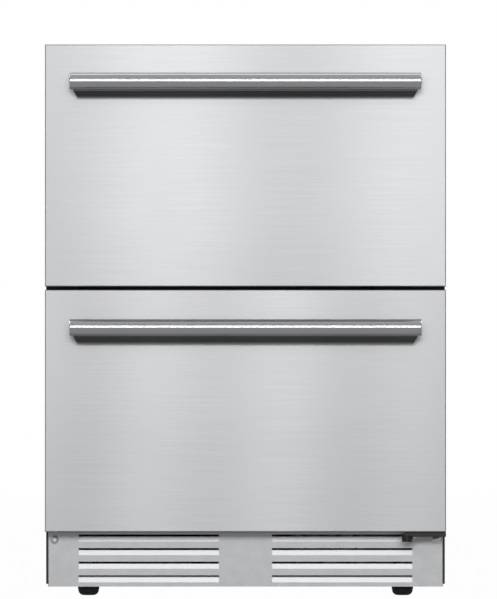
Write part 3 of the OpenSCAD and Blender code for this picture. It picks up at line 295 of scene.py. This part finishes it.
fin_t = 0.00012
condenser_pitch = 0.0018
evaporator_pitch = 0.0028
repeated("condenser_fine_fins", sheet_mesh("condenser_fin", (0, 0, 0), (0.102, fin_t, 0.154)), fins,
         "cabinet", (0.079, 0.1449, 0.0245), (74, (0, condenser_pitch, 0)))
repeated("evaporator_fine_fins", sheet_mesh("evaporator_fin", (0, 0, 0), (fin_t, 0.046, 0.166)), fins,
         "cabinet", (-0.179, 0.209, 0.346), (128, (evaporator_pitch, 0, 0)))

lamination, tree, shader = finish_named("stacked motor laminations", {"Metallic": 0.7})
tint(tree, shader, grain(tree, (4, 900, 900)), "#4a4b4d", "#6b6c6f")
roughen(tree, shader, grain(tree, (70, 70, 70)), 0.4, 0.6)
dress(lamination, "condenser_fan_motor", "evaporator_fan_motor")

nylon, tree, shader = finish_named("grey moulded nylon", {"IOR": 1.53})
tint(tree, shader, grain(tree, (40, 40, 40)), "#85878a", "#97999c")
roughen(tree, shader, grain(tree, (60, 60, 60)), 0.35, 0.5)
dress(nylon, "condenser_fan")

copper, tree, shader = finish_named("drawn copper tube", {"Metallic": 1.0})
tint(tree, shader, grain(tree, (35, 35, 35)), "#a8623c", "#c98258")
roughen(tree, shader, grain(tree, (60, 60, 60)), 0.22, 0.45)
dress(copper, "refrigerant_lines")


# ---- Drawer fronts ----
# Each front is a folded sheet of ferritic stainless steel over a foam core, closed at the back by a
# moulded panel with a magnetic gasket, whose soft inner fold is added. The sheet is brushed sideways.
def brushed_steel(name, colours, rough, strand=(7, 700, 700), depth=0.00001):
    """Stainless steel whose finish runs in strands; strand gives the grooves per metre by axis."""
    steel, tree, shader = finish_named(name, {"Metallic": 1.0})
    brushing = grain(tree, strand, detail=5, roughness=0.6)
    tint(tree, shader, brushing, *colours)
    roughen(tree, shader, brushing, *rough)
    relief(tree, shader, brushing, depth, 0.6)
    return steel, tree, shader


def painted_reflection_band(tree, width, middle, distortion=1.2):
    """A painted reflection band: a smooth vertical stripe of lighter tone that repeats across a front; width
    and middle are in metres.
    """
    place = add(tree, "ShaderNodeTexCoord")
    return add(tree, "ShaderNodeTexWave", {
        "Vector": place.outputs["Object"], "Scale": math.pi / 10 / width, "Distortion": distortion,
        "Detail": 1.0, "Detail Scale": 0.6, "Phase Offset": math.pi * (1 - 2 * middle / width)},
        wave_type="BANDS", bands_direction="X", wave_profile="SIN").outputs["Fac"]


# Painted reflection: each front's colour is lightened in soft vertical bands where the lights' reflections
# fall, over a slow random tone.
for part_name, bands in (("upper_face", ((0.375, -0.12), (0.375, -0.12))),
                         ("lower_face", ((0.2, -0.142), (0.8, -0.03)))):
    steel, tree, shader = brushed_steel("side-brushed steel, " + part_name, ("#c0c1c3", "#cbccce"),
                                        (0.35, 0.4))
    grooves = shader.inputs["Base Color"].links[0].from_socket
    painted_reflection_sum = grain(tree, (1.5, 1.5, 6.0), detail=2)
    for band in bands:
        painted_reflection_sum = add(tree, "ShaderNodeMath", {0: painted_reflection_sum, 1: painted_reflection_band(tree, *band)}).outputs["Value"]
    painted_reflection_mean = add(tree, "ShaderNodeMath", {0: painted_reflection_sum, 1: 1 / 3}, operation="MULTIPLY").outputs["Value"]
    # The painted reflection tone multiplies the brushed colour: #ececec in the darker bands, #ffffff in the
    # lighter ones.
    tone = blend_colours(tree, painted_reflection_mean, "#ececec", "#ffffff", (0.2, 0.8))
    painted_reflection_colour = add(tree, "ShaderNodeMixRGB", {"Fac": 1.0, "Color1": grooves, "Color2": tone},
                blend_type="MULTIPLY")
    tree.links.new(painted_reflection_colour.outputs["Color"], shader.inputs["Base Color"])
    shader.inputs["Anisotropic"].default_value = 0.6
    upright = add(tree, "ShaderNodeCombineXYZ", {"Z": 1.0})
    tree.links.new(upright.outputs["Vector"], shader.inputs["Tangent"])
    dress(steel, part_name)

seal, tree, shader = finish_named("grey PVC gasket", {"IOR": 1.54})
tint(tree, shader, grain(tree, (30, 30, 30)), "#2a2b2d", "#343537")
roughen(tree, shader, grain(tree, (80, 80, 80)), 0.45, 0.6)
relief(tree, shader, grain(tree, (600, 600, 600), detail=2), 0.00004, 0.5)
dress(seal, "upper_gasket", "lower_gasket")


def gasket_bellows(name, body, middle_z):
    """The gasket's soft inner fold: a bead swept round a rounded rectangle with Geometry Nodes."""
    tree = bpy.data.node_groups.new(name + " sweep", "GeometryNodeTree")
    sockets = {}
    for label, kind in (("Width", "NodeSocketFloat"), ("Height", "NodeSocketFloat"),
                        ("Corner", "NodeSocketFloat"), ("Bead radius", "NodeSocketFloat"),
                        ("Place", "NodeSocketVector"), ("Finish", "NodeSocketMaterial")):
        sockets[label] = tree.interface.new_socket(label, in_out="INPUT", socket_type=kind).identifier
    tree.interface.new_socket("Geometry", in_out="OUTPUT", socket_type="NodeSocketGeometry")
    given = add(tree, "NodeGroupInput").outputs
    path = add(tree, "GeometryNodeCurvePrimitiveQuadrilateral", {
        "Width": given["Width"], "Height": given["Height"]})
    rounded = add(tree, "GeometryNodeFilletCurve", {"Curve": path.outputs["Curve"], "Radius": given["Corner"],
                                                    "Count": 8}, mode="POLY")
    bead = add(tree, "GeometryNodeCurvePrimitiveCircle", {"Resolution": 16, "Radius": given["Bead radius"]})
    swept = add(tree, "GeometryNodeCurveToMesh", {"Curve": rounded.outputs["Curve"],
                                                  "Profile Curve": bead.outputs["Curve"]})
    upright = add(tree, "GeometryNodeTransform", {"Geometry": swept.outputs["Mesh"],
                                                  "Translation": given["Place"],
                                                  "Rotation": (math.pi / 2, 0, 0)})
    whole = add(tree, "GeometryNodeRealizeInstances", {"Geometry": upright.outputs["Geometry"]})
    coloured = add(tree, "GeometryNodeSetMaterial", {"Geometry": whole.outputs["Geometry"],
                                                     "Material": given["Finish"]})
    add(tree, "NodeGroupOutput", {"Geometry": coloured.outputs["Geometry"]})
    host = bpy.data.objects.new(name + "_host", bpy.data.meshes.new(name + "_host"))
    bpy.context.scene.collection.objects.link(host)
    sweep = host.modifiers.new("sweep", "NODES")
    sweep.node_group = tree
    for label, value in (("Width", 0.5498), ("Height", 0.3138), ("Corner", 0.006), ("Bead radius", 0.0028),
                         ("Place", (0, -0.2085, middle_z)), ("Finish", seal)):
        sweep[sockets[label]] = value
    graph = bpy.context.evaluated_depsgraph_get()
    mesh = bpy.data.meshes.new_from_object(host.evaluated_get(graph))
    host.modifiers.remove(sweep)
    bpy.data.objects.remove(host)
    bellows = bpy.data.objects.new(name, mesh)
    bpy.context.scene.collection.objects.link(bellows)
    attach(bellows, body)


gasket_bellows("upper_gasket_bellows", "upper_drawer", 0.6405)
gasket_bellows("lower_gasket_bellows", "lower_drawer", 0.2765)


# ---- Handles ----
# A stainless tube, brushed along its length, on a bent black web. Screws hold the web to the face. The web's
# black strip below the tube is painted shadow: a dark part where the tube's shadow falls on the face.
handle_steel, tree, shader = brushed_steel("lengthwise brushed tube steel", ("#cfd0d2", "#dadbdd"),
                                           (0.13, 0.18), depth=0.0000004)
dress(handle_steel, "upper_handle", "lower_handle")
screw_steel, tree, shader = brushed_steel("nickel-plated screw steel", ("#ecedef", "#f6f7f8"),
                                          (0.24, 0.3), (400, 400, 400))
dress(screw_steel, "upper_handle_screws", "lower_handle_screws", "kick_plate_screws")


# ---- Bins and telescopic slides ----
# Milky white polystyrene bins hang between zinc-plated ball-bearing slides.
bin_plastic, tree, shader = finish_named("milky polystyrene", {"IOR": 1.59, "Coat Weight": 0.2})
tint(tree, shader, grain(tree, (12, 12, 12)), "#e4e8eb", "#eaedf0")
roughen(tree, shader, grain(tree, (60, 60, 60)), 0.25, 0.31)
relief(tree, shader, grain(tree, (500, 500, 500), detail=2), 0.000005, 0.3)
dress(bin_plastic, "upper_bin", "lower_bin")
zinc_plate, tree, shader = brushed_steel("zinc-plated cold-rolled steel", ("#9fa3a8", "#b9bdc2"),
                                         (0.28, 0.46), (60, 60, 60))
dress(zinc_plate, "cabinet_slides", "upper_bin_slides", "upper_middle_slides", "lower_bin_slides",
      "lower_middle_slides")


# ---- Controls and lamp ----
# A black housing with three pale buttons under the ceiling, and an LED lamp behind a frosted lens.
# Added: the lamp's board and diodes behind the lens, the housing's smoked window and two pilot lamps.
button_plastic, tree, shader = finish_named("pale grey ABS", {"IOR": 1.53})
tint(tree, shader, grain(tree, (90, 90, 90)), "#c9cbcd", "#d6d8da")
roughen(tree, shader, grain(tree, (200, 200, 200)), 0.35, 0.5)
dress(button_plastic, "power_button", "warmer_button", "cooler_button")
lens, tree, shader = finish_named("frosted polycarbonate lens", {
    "IOR": 1.58, "Transmission Weight": 0.6})
tint(tree, shader, grain(tree, (30, 30, 30)), "#eef0f2", "#f6f7f8")
roughen(tree, shader, grain(tree, (300, 300, 300)), 0.35, 0.5)
dress(lens, "ceiling_lamp")

board, tree, shader = finish_named("white solder mask on aluminium", {"IOR": 1.5})
tint(tree, shader, grain(tree, (80, 80, 80)), "#e4e6e6", "#eef0f0")
roughen(tree, shader, grain(tree, (200, 200, 200)), 0.3, 0.42)
phosphor, tree, shader = finish_named("yellow phosphor in silicone", {"IOR": 1.41, "Coat Weight": 0.4})
tint(tree, shader, grain(tree, (700, 700, 700)), "#d9c94e", "#eadb6a")
roughen(tree, shader, grain(tree, (900, 900, 900)), 0.35, 0.5)
board_z = 0.7712
board_mesh = sheet_mesh("lamp_board_sheet", (-0.105, -0.131, board_z), (0.105, -0.119, board_z + 0.0012))
diode_mesh = sheet_mesh("lamp_diode", (-0.0014, -0.1264, board_z - 0.0008), (0.0014, -0.1236, board_z))
repeated("lamp_board", board_mesh, board, "cabinet", (0, 0, 0), (1, (0, 0, 0)))
repeated("lamp_diodes", diode_mesh, phosphor, "cabinet", (-0.0945, 0, 0),
         (10, (0.021, 0, 0)))

glass, tree, shader = finish_named("smoked acrylic window", {
    "IOR": 1.49, "Coat Weight": 1.0, "Coat Roughness": 0.04})
tint(tree, shader, grain(tree, (40, 40, 40)), "#060708", "#0b0c0e")
roughen(tree, shader, grain(tree, (90, 90, 90)), 0.06, 0.12)
window_mesh = sheet_mesh("control_window_sheet", (-0.0756, -0.1898, 0.7534), (-0.0204, -0.189, 0.7666))
repeated("control_window", window_mesh, glass, "cabinet", (0, 0, 0), (1, (0, 0, 0)))
pilot, tree, shader = finish_named("green pilot lens", {"IOR": 1.49, "Transmission Weight": 0.3})
tint(tree, shader, grain(tree, (600, 600, 600)), "#2f6b45", "#3f8057")
roughen(tree, shader, grain(tree, (700, 700, 700)), 0.15, 0.25)
repeated("control_pilots", pan_head("pilot_lens", 0.002, 0.0006, -1), pilot, "cabinet",
         (0.066, -0.19, 0.756), (1, (0, 0, 0)), (2, (0, 0, 0.008)))


# ---- Kick plate ----
# Mill-finish stainless sheet, 1 mm, with two banks of pressed louvres, held by two pan-head screws.
# Added: the nut that holds the levelling bracket at its right-hand corner.
kick_steel, tree, shader = finish_named("mill-finish steel sheet", {"Metallic": 1.0})
mottle = grain(tree, (55, 55, 55), detail=3)
tint(tree, shader, mottle, "#c9cacc", "#d2d3d5")
roughen(tree, shader, mottle, 0.39, 0.43)
relief(tree, shader, mottle, 0.00006, 0.5)
dress(kick_steel, "kick_plate")


def hex_nut(name, width, height):
    """A hexagon nut hanging down from z = 0, its lower corners bevelled."""
    radius = width / math.sqrt(3)
    rings = [(radius, 0.0002), (radius, -height * 0.8), (radius * 0.88, -height), (width * 0.3, -height),
             (width * 0.3, -height * 0.4)]
    corners = [(r * math.cos(math.pi / 3 * i), r * math.sin(math.pi / 3 * i), z)
               for r, z in rings for i in range(6)]
    faces = [(k * 6 + i, (k + 1) * 6 + i, (k + 1) * 6 + (i + 1) % 6, k * 6 + (i + 1) % 6)
             for k in range(len(rings) - 1) for i in range(6)]
    faces += [tuple(range(6)), tuple(reversed(range(24, 30)))]
    return closed_mesh(name, corners, faces)


repeated("corner_bracket_nut", hex_nut("bracket_nut", 0.006, 0.0042), screw_zinc, "cabinet",
         (0.2508, -0.25, 0.0912), (1, (0, 0, 0)))


# ---- Studio ----
# A white floor in a white surround, as in a catalogue picture: a low key light in front, soft boxes at
# the sides, above and behind, and a camera far away, about level with the middle of the fronts.
def flat_panel(name, corners):
    """A one-face mesh through four corners."""
    mesh = bpy.data.meshes.new(name)
    mesh.from_pydata(corners, [], [tuple(range(len(corners)))])
    panel = bpy.data.objects.new(name, mesh)
    bpy.context.scene.collection.objects.link(panel)
    return panel


def soft_box(name, place, aim, size, watts, colour="#ffffff"):
    """A rectangular area light at a place, turned towards a point."""
    light = bpy.data.lights.new(name, "AREA")
    light.shape = "RECTANGLE"
    light.size, light.size_y = size
    light.energy = watts
    light.color = linear(colour)[:3]
    lamp = bpy.data.objects.new(name, light)
    lamp.location = place
    lamp.rotation_euler = (Vector(aim) - Vector(place)).to_track_quat("-Z", "Y").to_euler()
    lamp.visible_camera = False
    bpy.context.scene.collection.objects.link(lamp)
    return lamp


scene = bpy.context.scene
floor = flat_panel("floor", [(-9, -16, 0), (9, -16, 0), (9, 6, 0), (-9, 6, 0)])
paper = bpy.data.materials.new("white studio paper")
paper.use_nodes = True
tree = paper.node_tree
tree.nodes.clear()
path = add(tree, "ShaderNodeLightPath")
glow = add(tree, "ShaderNodeEmission", {"Color": linear("#ffffff"), "Strength": 1.0})
matt = add(tree, "ShaderNodeBsdfDiffuse", {"Color": linear("#8c8c8c")})
seen = add(tree, "ShaderNodeMath", {0: path.outputs["Is Camera Ray"], 1: 0.985}, operation="MULTIPLY")
mirrored = add(tree, "ShaderNodeMath", {0: path.outputs["Is Glossy Ray"], 1: 0.21}, operation="MULTIPLY")
lifted = add(tree, "ShaderNodeMath", {0: seen.outputs["Value"], 1: mirrored.outputs["Value"]})
mixed = add(tree, "ShaderNodeMixShader", {"Fac": lifted.outputs["Value"]})
tree.links.new(matt.outputs["BSDF"], mixed.inputs[1])
tree.links.new(glow.outputs["Emission"], mixed.inputs[2])
add(tree, "ShaderNodeOutputMaterial", {"Surface": mixed.outputs["Shader"]})
floor.data.materials.append(paper)

world = bpy.data.worlds.new("studio")
scene.world = world
world.use_nodes = True
tree = world.node_tree
tree.nodes.clear()
ray = add(tree, "ShaderNodeLightPath")
seen = add(tree, "ShaderNodeMath", {0: ray.outputs["Is Camera Ray"], 1: ray.outputs["Is Transmission Ray"]},
           operation="MAXIMUM")
white = add(tree, "ShaderNodeBackground", {"Color": linear("#ffffff"), "Strength": 1.0})
pale = add(tree, "ShaderNodeBackground", {"Color": linear("#ffffff"), "Strength": 0.33})
chosen = add(tree, "ShaderNodeMixShader", {"Fac": seen.outputs["Value"]})
tree.links.new(pale.outputs["Background"], chosen.inputs[1])
tree.links.new(white.outputs["Background"], chosen.inputs[2])
add(tree, "ShaderNodeOutputWorld", {"Surface": chosen.outputs["Shader"]})

soft_box("key", (0.0, -6.2, 1.42), (0.0, -0.3, 0.5), (2.6, 0.9), 53)
soft_box("high strip", (0.0, -6.0, 3.4), (0.0, -0.3, 0.6), (3.4, 0.2), 9)
soft_box("overhead", (0.0, -1.3, 2.7), (0.0, -0.4, 0.6), (2.4, 1.4), 1.5)
soft_box("left fill", (-4.5, 2.6, 2.2), (0.0, 0.0, 0.4), (2.5, 2.5), 50)
soft_box("right fill", (4.5, 2.6, 2.2), (0.0, 0.0, 0.4), (2.5, 2.5), 36)
soft_box("top fill", (0.0, 0.3, 3.0), (0.0, 0.0, 0.8), (2.5, 1.2), 7)
soft_box("rear fill", (0.0, 5.5, 1.6), (0.0, 0.3, 0.4), (2.5, 2.0), 45)

camera_data = bpy.data.cameras.new("camera")
camera_data.sensor_fit = "VERTICAL"
camera_data.sensor_height = 36.0
camera_data.lens = 486.3
camera = bpy.data.objects.new("camera", camera_data)
camera.location = (0.0045, -12.26, 0.4417)
camera.rotation_euler = (math.pi / 2, 0, 0)
camera_data.clip_end = 100
scene.collection.objects.link(camera)
scene.camera = camera
scene.view_settings.view_transform = "Standard"
